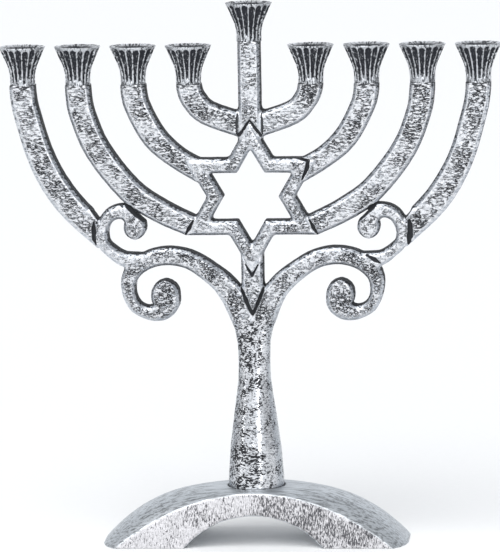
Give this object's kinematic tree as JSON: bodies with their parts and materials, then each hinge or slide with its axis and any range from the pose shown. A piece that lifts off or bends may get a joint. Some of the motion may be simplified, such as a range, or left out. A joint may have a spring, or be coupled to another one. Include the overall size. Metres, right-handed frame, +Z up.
{
  "type": "menorah",
  "caption": "Cast metal Hanukkah menorah: fluted candle cups on curved arms round an open star, with side scrolls, a tapered trunk and an arched base.",
  "frame": {"origin": "on the table, under the centre of the base", "axes": "+Z up, +X to the right seen from the front, the front faces -Y"},
  "size_m": [0.226, 0.047, 0.244],
  "materials": {
    "cup_silver": "cast, silver ridges with black patina in the flutes",
    "patina_silver": "cast, bright silver rubbed back over a black patina, speckled and scratched",
    "base_silver": "brushed satin crown, speckled front and back faces",
    "plain_steel": "zinc-plated fastener"
  },
  "bodies": {
    "root": {"cup_middle": "cup_silver", "cup_left_1": "cup_silver", "cup_left_2": "cup_silver", "cup_left_3": "cup_silver", "cup_left_4": "cup_silver", "cup_right_1": "cup_silver", "cup_right_2": "cup_silver", "cup_right_3": "cup_silver", "cup_right_4": "cup_silver", "arm_left_1": "patina_silver", "arm_left_2": "patina_silver", "arm_left_3": "patina_silver", "arm_left_4": "patina_silver", "arm_right_1": "patina_silver", "arm_right_2": "patina_silver", "arm_right_3": "patina_silver", "arm_right_4": "patina_silver", "column": "patina_silver", "star": "patina_silver", "post": "patina_silver", "scroll_left": "patina_silver", "scroll_right": "patina_silver", "small_scroll_left": "patina_silver", "small_scroll_right": "patina_silver", "trunk": "patina_silver", "base": "base_silver", "washer": "plain_steel", "base_screw": "plain_steel"}
  },
  "joints": []
}
